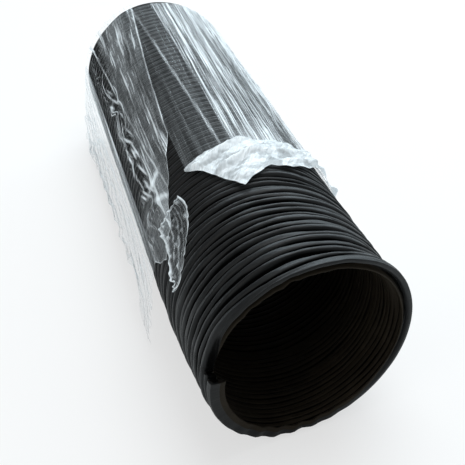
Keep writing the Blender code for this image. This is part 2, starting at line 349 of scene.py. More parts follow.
# How far each noise runs on in one turn, and its scale.
SLOW_NOISE = (0.5, 0.9)
QUICK_NOISE = (2.6, 1.3)
OTHER_NOISE = (3.1, 1.6)
PLEAT_DROP = 0.0005  # how much lower a rib of folded fabric is than one over the wire
WIDE_GROOVE = 0.22  # share of a groove's depth that is wide, and not close to its middle
EVERY_OTHER = 0.25  # share by which every other groove is deeper, and the next one shallower
SHALLOWEST = 0.12  # share of the depth that the unevenness leaves
THINNEST = 0.0006
ROW_CROWDING = 0.55
LIP_BULGE = 0.0007
SAME_POINT = 2e-5


def wall_tree():
    """Geometry Nodes: a grid wound into the hose's wall. Its rows run along the outside to the cut
    end, over the lip and back along the inside, with two ribs and two grooves to each turn."""
    tree = bpy.data.node_groups.new("wound wall", "GeometryNodeTree")
    for name, kind in WALL_INPUTS:
        tree.interface.new_socket(name=name, in_out="INPUT", socket_type=kind)
    tree.interface.new_socket(name="Wall", in_out="OUTPUT", socket_type="NodeSocketGeometry")
    graph = Graph(tree)
    given = graph.add("NodeGroupInput")
    first = given.out("First turn")
    rows_a_turn = given.out("Rows a turn")
    columns = given.out("Columns")
    uneven = given.out("Unevenness")
    lip_rows = given.out("Lip rows")
    length = given.out("Turns") * rows_a_turn * 2.0 + lip_rows * 2.0
    grid = graph.add(
        "GeometryNodeMeshGrid",
        {},
        {
            "Size X": columns,
            "Size Y": length,
            "Vertices X": columns + 1.0,
            "Vertices Y": length + 1.0,
        },
    )
    spot = graph.add("ShaderNodeSeparateXYZ", {}, (graph.add("GeometryNodeInputPosition"),))
    share = spot.out("X") / columns + 0.5
    lip = (spot.out("Y") / lip_rows).math("MAXIMUM", -1.0).math("MINIMUM", 1.0)
    inside = lip.ramped(-0.9, 0.9)
    run = first + (spot.out("Y").math("ABSOLUTE") - lip_rows).math("MAXIMUM", 0.0) / rows_a_turn
    # Rows crowd together at the grooves, where the shape turns fastest.
    run = run - (run * (4 * math.pi)).sine() * (ROW_CROWDING / (4 * math.pi))
    turn = run + share
    uneven = uneven * (1.0 - turn.ramped(CALM_FROM, CALM_TO) * CALMED)
    angle = STEP_ANGLE + share * (2 * math.pi)
    slow_place = graph.vector(angle.cosine(), angle.sine(), turn * SLOW_NOISE[0])
    quick_place = graph.vector(angle.cosine(), angle.sine(), turn * QUICK_NOISE[0])
    other_place = graph.vector(angle.sine(), turn * OTHER_NOISE[0], angle.cosine())
    slow = graph.noise(slow_place, SLOW_NOISE[1], 1.0) - 0.5
    quick = graph.noise(quick_place, QUICK_NOISE[1], 2.0) - 0.5
    other = graph.noise(other_place, OTHER_NOISE[1], 2.0) - 0.5

    wave = (run * (2 * math.pi)).cosine()
    square = wave * wave
    # The cut edge keeps the rib's radius until it nears the strip's end.
    past_edge = 1.0 - (1.0 - run.ramped(0.04, 0.30)) * (1.0 - share.ramped(0.90, 0.99))
    trough = (square * WIDE_GROOVE + square**6.0 * (1 - WIDE_GROOVE)) * past_edge
    inner_wave = (run * (2 * math.pi)).sine()
    inner_trough = (inner_wave * inner_wave) ** 7.0
    pleat = (0.5 - (run * (2 * math.pi)).sine() * 0.5) * PLEAT_DROP
    swing = (1.0 + quick * uneven * GROOVE_SWING).math("MAXIMUM", SHALLOWEST)
    depth = (1.0 + wave * EVERY_OTHER) * swing * given.out("Groove depth")
    outer = given.out("Rib radius") - pleat - trough * depth + slow * uneven * SWELL
    outer = outer + other * uneven * RIB_SWELL
    inner = given.out("Bore radius") + inner_trough * given.out("Inner groove depth")
    inner = inner + slow * uneven * SWELL - quick * uneven * PLY_SWELL
    outer = outer.math("MAXIMUM", inner + THINNEST)
    radius = outer + (inner - outer) * inside
    free = turn.math("MINIMUM", float(FREE_TURNS))
    y = CUT_END + free * FREE_PITCH + (turn - free) * WRAPPED_PITCH
    y = y + other * uneven * RIB_SHIFT + quick * uneven * RIB_WAVE
    y = y - (1.0 - lip * lip) * LIP_BULGE
    z = (AXIS_HEIGHT - radius * angle.cosine()).math("MAXIMUM", 0.0)
    sunk = trough + (inner_trough - trough) * inside
    stored = (("turn", turn), ("run", run), ("round", share), ("sunk", sunk), ("inside", inside))
    for name, value in stored:
        inputs = {"Geometry": grid, "Name": name, "Value": value}
        grid = graph.add("GeometryNodeStoreNamedAttribute", {"domain": "POINT"}, inputs)
    placed = graph.add(
        "GeometryNodeSetPosition",
        {},
        {"Geometry": grid, "Position": graph.vector(radius * angle.sine(), y, z)},
    )
    joined = graph.add(
        "GeometryNodeMergeByDistance", {}, {"Geometry": placed, "Distance": SAME_POINT}
    )
    smooth = graph.add("GeometryNodeSetShadeSmooth", {}, {"Geometry": joined})
    real = graph.add("GeometryNodeRealizeInstances", {}, {"Geometry": smooth})
    finished = graph.add(
        "GeometryNodeSetMaterial", {}, {"Geometry": real, "Material": given.out("Finish")}
    )
    output = tree.nodes.new("NodeGroupOutput")
    tree.links.new(finished.socket, output.inputs["Wall"])
    return tree


def baked(name, tree, values):
    """The plain mesh that a Geometry Nodes tree makes with these input values."""
    empty = bpy.data.meshes.new(name)
    carrier = bpy.data.objects.new(name, empty)
    bpy.context.scene.collection.objects.link(carrier)
    modifier = carrier.modifiers.new("tree", "NODES")
    modifier.node_group = tree
    for item in tree.interface.items_tree:
        if item.item_type == "SOCKET" and item.in_out == "INPUT":
            modifier[item.identifier] = values[item.name]
    bpy.context.view_layer.update()
    evaluated = carrier.evaluated_get(bpy.context.evaluated_depsgraph_get())
    mesh = bpy.data.meshes.new_from_object(evaluated)
    bpy.data.objects.remove(carrier)
    mesh.name = name
    return mesh


def lean(points):
    """Points of the straight hose, moved to where they lie on the hose that leans."""
    share = np.maximum(FREE_END - points[:, 1], 0) / LEAN_LENGTH
    yaw = LEAN_YAW * share
    pitch = LEAN_PITCH * share
    bend_radius = LEAN_LENGTH / LEAN_YAW
    height = points[:, 2] - AXIS_HEIGHT
    forward = height * np.sin(pitch)
    x = bend_radius * (1 - np.cos(yaw)) + points[:, 0] * np.cos(yaw) + forward * np.sin(yaw)
    y = np.maximum(points[:, 1], FREE_END) - bend_radius * np.sin(yaw)
    y = y + points[:, 0] * np.sin(yaw) - forward * np.cos(yaw)
    return np.stack([x, y, AXIS_HEIGHT + height * np.cos(pitch)], -1)


def plane_at(y):
    """The leaned plane that was flat at y: its middle, and the way from it towards the far end."""
    points = np.array([[0, y, AXIS_HEIGHT], [0.01, y, AXIS_HEIGHT], [0, y, AXIS_HEIGHT + 0.01]])
    middle, side, up = (Vector(p) for p in lean(points))
    return middle, (up - middle).cross(side - middle).normalized()


def bumped(value, middle, half_width):
    """1 at the middle, falling smoothly to 0 at half_width from it."""
    away = np.clip(np.abs(value - middle) / half_width, 0, 1)
    return 1 - away * away * (3 - 2 * away)


def spread(values, place):
    """Values given at rising places, with straight runs between them."""
    return np.interp(place, list(values), list(values.values()))


def points_of(mesh):
    points = np.empty(len(mesh.vertices) * 3)
    mesh.vertices.foreach_get("co", points)
    return points.reshape(-1, 3)


def values_of(mesh, name):
    values = np.empty(len(mesh.vertices))
    mesh.attributes[name].data.foreach_get("value", values)
    return values


def store(mesh, name, values):
    kind = "FLOAT" if values.ndim == 1 else "FLOAT_VECTOR"
    field = "value" if values.ndim == 1 else "vector"
    attribute = mesh.attributes.new(name, kind, "POINT")
    attribute.data.foreach_set(field, np.ascontiguousarray(values, np.float32).ravel())


def settle(mesh, points):
    mesh.vertices.foreach_set("co", np.ascontiguousarray(points, np.float32).ravel())
    mesh.update()


# Share of the way round from the strip's end: 0.26 at the bottom, 0.51 at +X, 0.76 at the top.
FLANGE = {0: 2.8, 0.10: 2.5, 0.20: 1.6, 0.26: 0.9, 0.35: 0.3, 0.50: 0.6, 0.62: 1.1, 0.72: 0.5}
FLANGE |= {0.80: 0.1, 0.88: 0.1, 0.95: 0.6, 0.975: 0, 1: 0}  # how far the cut ply turns in, in mm
LIP_SWELL = 0.0014
OPENED_GROOVE = 0.0026
RAG = 0.0008
TOP_FORWARD = 0.0013
PLY_GAP = 0.0030
WRINKLE = 0.0009
NARROWED = 0.012  # shares of the cut end's width and height
FLATTENED = 0.022
END_SHIFT = (-0.0030, 0.0010)  # of the cut end, along X and Z


def sprung(points, run, share, sunk, inside):
    """The uneven shape of the free end, before it leans, and how far each point is in it."""
    side = points[:, 0]
    height = points[:, 2] - AXIS_HEIGHT
    radius = np.hypot(side, height)
    last_turn = 1 - np.clip((run - 0.94) / 0.14, 0, 1)
    first_half = bumped(run, 0.5, 0.3)
    grown = LIP_SWELL * bumped(share, 0.62, 0.16) * last_turn
    grown += OPENED_GROOVE * sunk * first_half * bumped(share, 0.62, 0.24) * (1 - inside)
    # The cut ply turns inward as a flange, ragged where it hangs at the upper -X side.
    flange = spread(FLANGE, share) * 0.001
    ragged = np.sin(share * 131) * np.sin(share * 47 + 1) + 0.5 * np.sin(share * 263)
    flange += RAG * ragged * bumped(share, 0.82, 0.13)
    grown -= flange * np.exp(-((run / 0.16) ** 2)) * inside
    scale = 1 + grown / radius
    forward = TOP_FORWARD * bumped(share, 0.80, 0.17) * last_turn
    # A dark gap between the outer ply and the inner one.
    gap = spread({0.36: 0, 0.46: 1, 0.90: 1, 0.96: 0}, share) * bumped(inside, 0.62, 0.30)
    forward -= PLY_GAP * gap
    forward += WRINKLE * np.sin(share * 190) * bumped(share, 0.22, 0.16) * bumped(run, 0, 0.3)
    moved = np.stack([side * scale, points[:, 1] - forward, height * scale], -1)
    eased = np.clip((FREE_END - points[:, 1]) / LEAN_LENGTH, 0, 1) ** 2
    moved[:, 0] *= 1 - NARROWED * eased
    moved[:, 2] *= 1 - FLATTENED * eased
    moved[:, 2] += AXIS_HEIGHT
    return moved, eased


def leaned_wall(name, tree, values):
    """The wall's mesh, leaned, with its rest place and its smooth normals kept as attributes."""
    mesh = baked(name, tree, values)
    fields = [values_of(mesh, field) for field in ("run", "round", "sunk", "inside")]
    points, eased = sprung(points_of(mesh), *fields)
    points = lean(points)
    points[:, 0] += END_SHIFT[0] * eased
    points[:, 2] = np.maximum(points[:, 2] + END_SHIFT[1] * eased, 0)
    settle(mesh, points)
    store(mesh, "rest", points)
    normals = np.empty(len(mesh.vertices) * 3)
    mesh.vertex_normals.foreach_get("vector", normals)
    store(mesh, "smooth_normal", normals.reshape(-1, 3))
    return mesh


ON_PLANE = 4e-4  # an open edge this near a plane was cut by it


def rim_edges(bm, plane):
    """The open edges that lie on a plane."""
    middle, away = plane
    return [
        edge
        for edge in bm.edges
        if edge.is_boundary and all(abs((v.co - middle).dot(away)) < ON_PLANE for v in edge.verts)
    ]


def rim_loops(bm, plane):
    """The open loops on a plane, longest first, each with its points' angles round the middle."""
    middle, away = plane
    side = away.cross(Vector((0, 0, 1))).normalized()
    up = side.cross(away)
    bm.edges.index_update()
    left = {edge.index: edge for edge in rim_edges(bm, plane)}
    loops = []
    while left:
        first = left.pop(min(left))
        loop = [first.verts[0], first.verts[1]]
        onward = first
        while onward:
            onward = next((e for e in loop[-1].link_edges if e.index in left), None)
            if onward:
                del left[onward.index]
                loop.append(onward.other_vert(loop[-1]))
        if loop[0] == loop[-1]:
            loop.pop()
        offsets = [vert.co - middle for vert in loop]
        angles = [math.atan2(offset.dot(side), offset.dot(up)) for offset in offsets]
        if np.unwrap(angles + angles[:1])[-1] < angles[0]:
            loop.reverse()
            angles.reverse()
        start = int(np.argmin(angles))
        loop = loop[start:] + loop[:start]
        angles = np.unwrap(angles[start:] + angles[:start] + angles[start : start + 1])
        loops.append((loop, angles))
    return sorted(loops, key=lambda found: -len(found[0]))


def close_ring(bm, plane, outward):
    """Fills the flat ring between the wall's inner and outer loops on a plane."""
    loops = rim_loops(bm, plane)
    faces = [bm.faces.new(loop) for loop, _ in loops[2:] if len(loop) > 2]
    (one, one_angles), (two, two_angles) = loops[:2]
    i = j = 0
    while i < len(one) or j < len(two):
        near, far = one[i % len(one)], two[j % len(two)]
        if j == len(two) or (i < len(one) and one_angles[i + 1] <= two_angles[j + 1]):
            i += 1
            faces.append(bm.faces.new((near, one[i % len(one)], far)))
        else:
            j += 1
            faces.append(bm.faces.new((near, two[j % len(two)], far)))
    for face in faces:
        face.normal_update()
        if face.normal.dot(outward) < 0:
            face.normal_flip()


LINER_FROM = 0.55  # share of the way over the lip at which the inner fabric begins


def wall_piece(name, wall, front, back, finishes):
    """The part of the wall between two planes, each closed with a flat ring where it was cut."""
    bm = bmesh.new()
    bm.from_mesh(wall)
    cuts = [(plane, sign) for plane, sign in ((front, -1), (back, 1)) if plane is not None]
    for (middle, away), sign in cuts:
        bmesh.ops.bisect_plane(
            bm,
            geom=bm.verts[:] + bm.edges[:] + bm.faces[:],
            dist=1e-7,
            plane_co=middle,
            plane_no=sign * away,
            clear_outer=True,
        )
    for plane, sign in cuts:
        close_ring(bm, plane, sign * plane[1])
    open_end = [edge for edge in bm.edges if edge.is_boundary]
    if open_end:
        bmesh.ops.triangle_fill(bm, use_beauty=True, edges=open_end)
    mesh = bpy.data.meshes.new(name)
    bm.to_mesh(mesh)
    bm.free()
    normals = np.empty(len(mesh.vertices) * 3, np.float32)
    mesh.attributes["smooth_normal"].data.foreach_get("vector", normals)
    mesh.attributes.remove(mesh.attributes["smooth_normal"])
    mesh.normals_split_custom_set_from_vertices(normals.reshape(-1, 3).tolist())
    mesh.materials.clear()
    for finish in finishes:
        mesh.materials.append(finish)
    inside = values_of(mesh, "inside")
    corners = np.empty(len(mesh.loops), np.int32)
    mesh.loops.foreach_get("vertex_index", corners)
    starts = np.empty(len(mesh.polygons), np.int32)
    mesh.polygons.foreach_get("loop_start", starts)
    is_liner = inside[corners[starts]] > LINER_FROM
    mesh.polygons.foreach_set("material_index", is_liner.astype(np.int32))
    return add_object(name, mesh)


def add_object(name, mesh):
    piece = bpy.data.objects.new(name, mesh)
    bpy.context.scene.collection.objects.link(piece)
    return piece


def make_wall(finishes):
    """Rear, stretches and front of the hose's wall."""
    tree = wall_tree()
    shape = {
        "Columns": 144.0,
        "Lip rows": 8.0,
        "Rib radius": BEAD_RADIUS,
        "Bore radius": 0.0497,
        "Groove depth": 0.0036,
        "Inner groove depth": 0.0021,
        "Unevenness": 1.0,
        "Finish": finishes[0],
    }
    front_values = {**shape, "First turn": 0.0, "Turns": LEAN_TURNS + 2.0, "Rows a turn": 24.0}
    rear_values = {
        **shape,
        "First turn": LEAN_TURNS - 1.0,
        "Turns": TURNS - LEAN_TURNS + 2.0,
        "Rows a turn": 11.0,
        "Columns": 96.0,
    }
    front_wall = leaned_wall("front wall", tree, front_values)
    rear_wall = leaned_wall("rear wall", tree, rear_values)
    seam = plane_at(FREE_END + SLIDE_LENGTH)
    rear = wall_piece("rear_wall", rear_wall, seam, plane_at(FAR_END), finishes)
    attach(rear, "root")
    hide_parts("rear_cover", "rear_liner", "rear_wire")
    for part in range(MOVING_PARTS, 0, -1):
        end = CUT_END + advance(FRONT_TURNS + part - 1)
        back = end + SLIDE_LENGTH
        stretch = wall_piece(
            f"turn_{part}_pleat", front_wall, plane_at(end), plane_at(back), finishes
        )
        bend_between(stretch, back, end)
        if part > 1:
            front_of_tilt = end - (FREE_PITCH - SLIDE_LENGTH)
            tilt = wall_piece(
                f"turn_{part}_rib", front_wall, plane_at(front_of_tilt), plane_at(end), finishes
            )
            bend_between(tilt, end, front_of_tilt)
            nodes = [f"turn_{part}_{kind}" for kind in ("cover", "liner", "wire")]
            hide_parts(*nodes)
    front = wall_piece("cut_end_wall", front_wall, None, plane_at(end), finishes)
    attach(front, "hose_turn_1")
    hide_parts("turn_1_cover", "turn_1_liner", "turn_1_wire")


# How far inside its seams bend_between places a stretch's blend points, because the two aren't
# quite parallel; nothing uses the points.
BLEND_INSET = 0.0007


def bend_between(piece, start, end):
    """Works out where a blend of a stretch of wall between two bodies would begin and end, square
    to the seams' planes, which lean more than the hose's middle line does, and bakes the
    stretch's place into its mesh. Nothing blends it."""
    start_middle, start_way = plane_at(start)
    end_middle, end_way = plane_at(end)
    way = -(start_way + end_way).normalized()
    length = (end_middle - start_middle).dot(way)
    tuple(start_middle + BLEND_INSET * way)
    tuple(start_middle + (length - BLEND_INSET) * way)
    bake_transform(piece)


# ---------------------------------------------------------------- the film


def through(values, place):
    """A smooth curve through evenly spaced values: place runs from 0 to 1."""
    values = np.array(values, float)
    spans = len(values) - 1
    span = np.minimum((np.asarray(place) * spans).astype(int), spans - 1)
    part = np.asarray(place) * spans - span
    before = values[np.maximum(span - 1, 0)]
    start = values[span]
    end = values[span + 1]
    after = values[np.minimum(span + 2, spans)]
    bend = 2 * before - 5 * start + 4 * end - after
    turn = 3 * start - before - 3 * end + after
    return start + 0.5 * part * (end - before + part * (bend + part * turn))


def folds(across, along, seed, width, count, slant=0.25):
    """Soft ridges of film drawn out along the hose: 0 between folds and 1 on their crests."""
    picks = np.random.default_rng(seed)
    height = np.zeros_like(across)
    for _ in range(count):
        lean_of_fold = picks.uniform(-slant, slant)
        phase = picks.uniform(0, 2 * math.pi)
        pace = picks.uniform(0.6, 1.6) / width
        sway = 0.35 * width * np.sin(along * picks.uniform(20, 60) + picks.uniform(0, 6))
        wave = np.sin((across + lean_of_fold * along + sway) * pace * 2 * math.pi + phase)
        height += np.maximum(wave, 0) ** 3
    return height / count


FILM_THICKNESS = 0.00015


def film_sheet(name, columns, rows, place, finish):
    """A thin sheet on a grid: place gives its points, its length across and along, and how white
    and how streaked it is, for arrays u and v."""
    u, v = np.meshgrid(np.linspace(0, 1, columns + 1), np.linspace(0, 1, rows + 1), indexing="ij")
    u = u.ravel()
    v = v.ravel()
    points, across, along, veil, streak_and_glint = place(u, v)
    index = np.arange((columns + 1) * (rows + 1)).reshape(columns + 1, rows + 1)
    corners = [index[:-1, :-1], index[1:, :-1], index[1:, 1:], index[:-1, 1:]]
    faces = np.stack([c.ravel() for c in corners], -1)
    mesh = bpy.data.meshes.new(name)
    mesh.from_pydata(points.tolist(), [], faces.tolist())
    store(mesh, "veil", veil)
    store(mesh, "streak_and_glint", streak_and_glint)
    layer = mesh.uv_layers.new(name="film")
    loops = np.empty(len(mesh.loops), np.int32)
    mesh.loops.foreach_get("vertex_index", loops)
    layer.data.foreach_set("uv", np.stack([across[loops], along[loops]], -1).ravel())
    mesh.shade_smooth()
    mesh.materials.append(finish)
    piece = add_object(name, mesh)
    shell = piece.modifiers.new("thickness", "SOLIDIFY")
    shell.thickness = FILM_THICKNESS
    shell.offset = 1.0
    return piece


def round_hose(angle, y, radius):
    """Points at these angles from the top towards -X, in degrees."""
    turned = np.radians(angle)
    x = -radius * np.sin(turned)
    return np.stack([x, y, AXIS_HEIGHT + radius * np.cos(turned)], -1)


def fold_lines(angle, v, lines):
    """Narrow bright lines along the hose, where the film is folded over. Each line has its angle
    at the middle of the sheet, strength, half width, and drift from the front to the far end."""
    shown = np.zeros_like(angle)
    for middle, strength, half_width, drift in lines:
        broken = 0.82 + 0.18 * np.sin(v * 41 + middle) * np.sin(v * 17)
        line = bumped(angle, middle + drift * (v - 0.5), half_width)
        shown = np.maximum(shown, strength * broken * line)
    return shown


def glints(angle, length):
    """Painted highlights: short bright slants painted where the wrinkled side of the strip catches
    the light.
    """
    picks = np.random.default_rng(7)
    shown = np.zeros_like(angle)
    for _ in range(GLINTS):
        middle = picks.uniform(60, 70)
        place = picks.uniform(0.112, 0.31)
        slope = picks.choice((-1, 1, 1)) * picks.uniform(60, 330)
        off = angle - middle - slope * (length - place)
        reach = picks.uniform(0.009, 0.020)
        mark = bumped(off, 0, picks.uniform(0.7, 1.2)) * bumped(length, place, reach)
        shown = np.maximum(shown, picks.uniform(0.45, 0.9) * mark)
    return shown


# Angles run in degrees from the top towards -X, and lengths from the hose's cut end. A VEIL says
# how white the film is and a STREAK how strong its stretched lines are, at these angles. An EDGE
# is the length of a torn edge at these angles.
SLEEVE_LEFT = 35.6
SLEEVE_RIGHT = -155
SLEEVE_START = 0.1225
SLEEVE_RADIUS = 0.0558
SLEEVE_TIGHT = (0.15, 0.25, 0.8, 1.0, 1.0, 1.0, 0.9)  # how high its folds are, left to right
SLEEVE_FOLDS = 0.0016
SLEEVE_WRINKLES = 0.0003
SLEEVE_PULL = 0.0025  # how far it is drawn in at the far end
SLEEVE_LINES = (
    (35.1, 0.7, 0.5, 0),
    (15.5, 0.34, 1.2, 9.0),
    (3.2, 0.6, 0.6, 1.0),
    (-4, 0.5, 0.6, -2.0),
)
SLEEVE_VEIL = {-155: 0.4, -90: 0.4, -60: 0.24, -35: 0.10, -20: 0.07, -10: 0.06, 2: 0.06, 4: 0.03}
SLEEVE_VEIL |= {8: 0.015, 12: 0.03, 14: 0.018, 34: 0.02, 36: 0.03}
# The stretched lines are partly milky film and partly painted highlights.
SLEEVE_STREAK_AND_GLINT = {-155: 1.0, -35: 1.0, -12: 0.95, -5: 0.9, 3: 0.6, 5: 0.06, 12: 0.03, 36: 0.03}

GATHER_LEFT = 36
GATHER_RIGHT = -80
GATHER_RADIUS = 0.0561
GATHER_LOOSE = 0.0008  # how far it stands off
GATHER_LOBES = 0.0036
GATHER_FOLDS = 0.0010
FRONT_RAG = 0.0010  # how ragged its front and back edges are
BACK_RAG = 0.0012
GATHER_EDGE = {-80: 0.129, -60: 0.126, -46: 0.118, -33: 0.1025, -20: 0.0945, -8: 0.0939}
GATHER_EDGE |= {2: 0.0850, 11: 0.0765, 18: 0.0870, 27: 0.1060, 36: 0.1180}
GATHER_BACK = {-80: 0.132, 0: 0.1262, 22: 0.1262, 30: 0.1215, 36: 0.1190}

STRIP_LEFT = 81
STRIP_RIGHT = 34.4
STRIP_RADIUS = 0.0560
STRIP_FOLDS = 0.0012
STRIP_FRONT_FOLDS = 0.0018
STRIP_WINDING = 0.0022
OVERLAP = 0.0005  # how much higher the strip lies where it is over the sleeve
STRIP_LINES = ((58, 0.6, 0.7, 18), (35, 0.5, 0.45, 0), (41, 0.4, 0.5, 4), (53, 0.3, 0.5, 8))
STRIP_EDGE = {34: 0.172, 42: 0.150, 46: 0.128, 50: 0.117, 58: 0.086, 69: 0.073, 75: 0.078}
STRIP_EDGE |= {81: 0.091}
STRIP_TURN = {0.15: 0, 0.172: 1, 0.265: -5, 0.37: -14, 0.40: -16}  # of its right edge, by length
STRIP_VEIL = {34: 0.06, 38: 0.05, 46: 0.09, 59: 0.09, 61: 0.004, 81: 0.0}
# The stretched lines are partly milky film and partly painted highlights.
STRIP_STREAK_AND_GLINT = {34: 0.2, 40: 0.40, 58: 0.45, 61: 1.0, 70: 1.0, 73: 0.05, 81: 0.0}
GLINTS = 30

LOOSE_RADIUS = 0.0562  # where the side sheet and the tail lie on the hose

SKIRT_TOP = math.radians(81.5)
SKIRT_FRONT = 0.091
SKIRT_SLOPE = 0.010  # how much further back its front edge is at the foot
SKIRT_FLARE = 0.0030
SKIRT_FOLDS = 0.004
SKIRT_FOOT = {0.09: 0.0005, 0.105: 0.003, 0.13: 0.020, 0.16: 0.020, 0.25: 0.010, 0.38: 0.0015}
SKIRT_VEIL = (0.22, 0.24, 0.18, 0.12)  # top to foot

# From the tail's root to its tip.
TAIL_ANGLES = (55, 52, 54, 60, 66, 71)
TAIL_LENGTHS = (0.099, 0.083, 0.068, 0.055, 0.047, 0.050)
TAIL_HALF_WIDTHS = (0.0100, 0.0102, 0.0085, 0.0058, 0.0034, 0.0010)
TAIL_LIFTS = (0.0002, 0.0026, 0.0022, 0.0026, 0.0030, 0.0012)
TAIL_LENGTH = 0.07
TAIL_CURL = 0.0010
TAIL_CREASES = 0.0022
LOOK_BACK = 0.02  # share of the tail over which its direction is taken


def sleeve_place(u, v):
    """The sheet over the top and the +X side, from its left edge round to where it passes under."""
    angle = SLEEVE_LEFT + (SLEEVE_RIGHT - SLEEVE_LEFT) * u
    y = CUT_END + SLEEVE_START + (FILM_LENGTH - SLEEVE_START) * v
    across = np.radians(angle) * BEAD_RADIUS
    tight = through(SLEEVE_TIGHT, u)
    lift = SLEEVE_FOLDS * folds(across, y, seed=3, width=0.011, count=5) * tight
    lift += SLEEVE_WRINKLES * folds(across, y, seed=4, width=0.004, count=4)
    pulled_in = SLEEVE_PULL * bumped(v, 1.0, 0.03)
    front_white = 0.25 * bumped(v, 0, 0.16) * bumped(angle, -12, 26)
    far_white = 0.60 * np.clip((v - 0.45) / 0.55, 0, 1) * bumped(angle, -45, 50)
    veil = spread(SLEEVE_VEIL, angle) + front_white + far_white
    veil = np.maximum(veil, fold_lines(angle, v, SLEEVE_LINES))
    radius = SLEEVE_RADIUS + lift - pulled_in
    return round_hose(angle, y, radius), across, y, veil, spread(SLEEVE_STREAK_AND_GLINT, angle)


def gather_place(u, v):
    """The torn front of that sheet, drawn together into soft white lobes."""
    angle = GATHER_LEFT + (GATHER_RIGHT - GATHER_LEFT) * u
    across = np.radians(angle) * BEAD_RADIUS
    edge = spread(GATHER_EDGE, angle) + FRONT_RAG * np.sin(across * 420) * np.sin(across * 170)
    back = spread(GATHER_BACK, angle) + BACK_RAG * np.sin(across * 240)
    y = CUT_END + edge + (back - edge) * v
    lobes = 2.2 * folds(across, y - 0.5 * across, seed=9, width=0.026, count=3, slant=0.9)
    fine = folds(across - 0.4 * y, y, seed=14, width=0.0075, count=4, slant=1.1)
    raised = np.clip(v / 0.35, 0.12, 1) * (1 - 0.55 * v)
    lift = GATHER_LOOSE + (GATHER_LOBES * lobes + GATHER_FOLDS * fine) * raised
    left_tip = bumped(angle, GATHER_LEFT, 9)
    # Whiter on the crests of the lobes and folds and clearer in their hollows: partly the crumpled
    # film's own whiteness, partly painted highlight on the crests and painted shade in the hollows.
    veil = 0.74 + 0.26 * np.clip(lobes + fine + bumped(v, 0, 0.12), 0, 1) - 0.35 * left_tip
    return round_hose(angle, y, GATHER_RADIUS + lift), across, y, veil, np.full_like(u, 0.3)


def strip_place(u, v):
    """The strip between the top and the -X side, with a knot and a fold across its front."""
    angle = STRIP_LEFT + (STRIP_RIGHT - STRIP_LEFT) * u
    front = spread(STRIP_EDGE, angle)
    length = front + (FILM_LENGTH - front) * v
    y = CUT_END + length
    across = np.radians(angle) * BEAD_RADIUS
    near = bumped(length, 0.085, 0.070)
    knot = bumped(length + 0.0006 * (angle - 55), 0.142, 0.005) * bumped(angle, 57, 12)
    fold = bumped(length - 0.0011 * (angle - 55), 0.118, 0.004) * bumped(angle, 55, 10)
    torn_edge = bumped(length - front, 0, 0.0016)
    veil = spread(STRIP_VEIL, angle) + 0.12 * near + 0.6 * knot + 0.6 * fold
    # The glints are painted highlights.
    for shown in (fold_lines(angle, v, STRIP_LINES), glints(angle, length), 0.7 * torn_edge):
        veil = np.maximum(veil, shown)
    front_sheet = bumped(length, 0.085, 0.06) * bumped(angle, 66, 26)
    streak_and_glint = np.maximum(spread(STRIP_STREAK_AND_GLINT, angle), 0.85 * front_sheet)
    # At the side the stretched lines wind a little from side to side.
    winding = np.sin(y * 160 + 1.5 * np.sin(y * 90)) * np.clip((angle - 57) / 6, 0, 1)
    turned = angle + spread(STRIP_TURN, length) * u * u
    lift = STRIP_FOLDS * folds(across, y, seed=12, width=0.009, count=4)
    lift += STRIP_FRONT_FOLDS * near * folds(across, y, seed=15, width=0.009, count=4, slant=0.4)
    lift += OVERLAP * np.clip((38 - turned) / 4, 0, 1)
    wound = across + STRIP_WINDING * winding
    return round_hose(turned, y, STRIP_RADIUS + lift), wound, y, veil, streak_and_glint


def skirt_place(u, v):
    """The loose film that hangs from the -X side to the floor."""
    front = SKIRT_FRONT + SKIRT_SLOPE * u
    y = CUT_END + front + (FILM_LENGTH - front) * v
    across = 0.07 + u * 0.06
    swell = SKIRT_FLARE * np.sqrt(u)
    swell += SKIRT_FOLDS * folds(across, y, seed=22, width=0.022, count=3, slant=0.6) * u
    top = AXIS_HEIGHT + LOOSE_RADIUS * math.cos(SKIRT_TOP)
    x = -LOOSE_RADIUS * math.sin(SKIRT_TOP) - swell
    foot = spread(SKIRT_FOOT, y - CUT_END)
    points = np.stack([x, y, top + (foot - top) * u], -1)
    fade = 0.35 + 0.65 * np.clip(v * 2.2, 0, 1)
    veil = np.maximum(through(SKIRT_VEIL, u), 0.5 * bumped(u, 0, 0.05)) * fade
    return points, across, y, veil, 0.5 * fade


def tail_place(u, v):
    """The loose tail in front of the strip, hooked down to the -X side."""
    ahead = np.minimum(v + LOOK_BACK, 1)
    behind = ahead - LOOK_BACK
    turned = np.radians(through(TAIL_ANGLES, ahead) - through(TAIL_ANGLES, behind))
    way_across = LOOSE_RADIUS * turned
    way_along = through(TAIL_LENGTHS, ahead) - through(TAIL_LENGTHS, behind)
    side = 2 * u - 1
    across = side * through(TAIL_HALF_WIDTHS, v)
    offset = across / np.hypot(way_across, way_along)
    angle = through(TAIL_ANGLES, v) - np.degrees(offset * way_along / LOOSE_RADIUS)
    y = CUT_END + through(TAIL_LENGTHS, v) + offset * way_across
    along = v * TAIL_LENGTH
    creases = folds(across, along, seed=31, width=0.009, count=3, slant=0.7)
    lift = through(TAIL_LIFTS, v) + TAIL_CURL * side**2 + TAIL_CREASES * creases
    # Whiter on the creases' crests: partly the creased film's own whiteness, partly painted
    # highlight.
    veil = 0.03 + 0.36 * np.clip(4.0 * creases - 1.9, 0, 1)
    sides = np.maximum(bumped(side, 1, 0.28), bumped(side, -1, 0.15))
    ends = np.maximum(bumped(v, 1, 0.10), bumped(v, 0, 0.05))
    veil = np.maximum(veil, np.maximum(0.95 * sides, 0.7 * ends))
    points = lean(round_hose(angle, y, LOOSE_RADIUS + lift))
    return points, across, along, veil, np.full_like(u, 0.3)


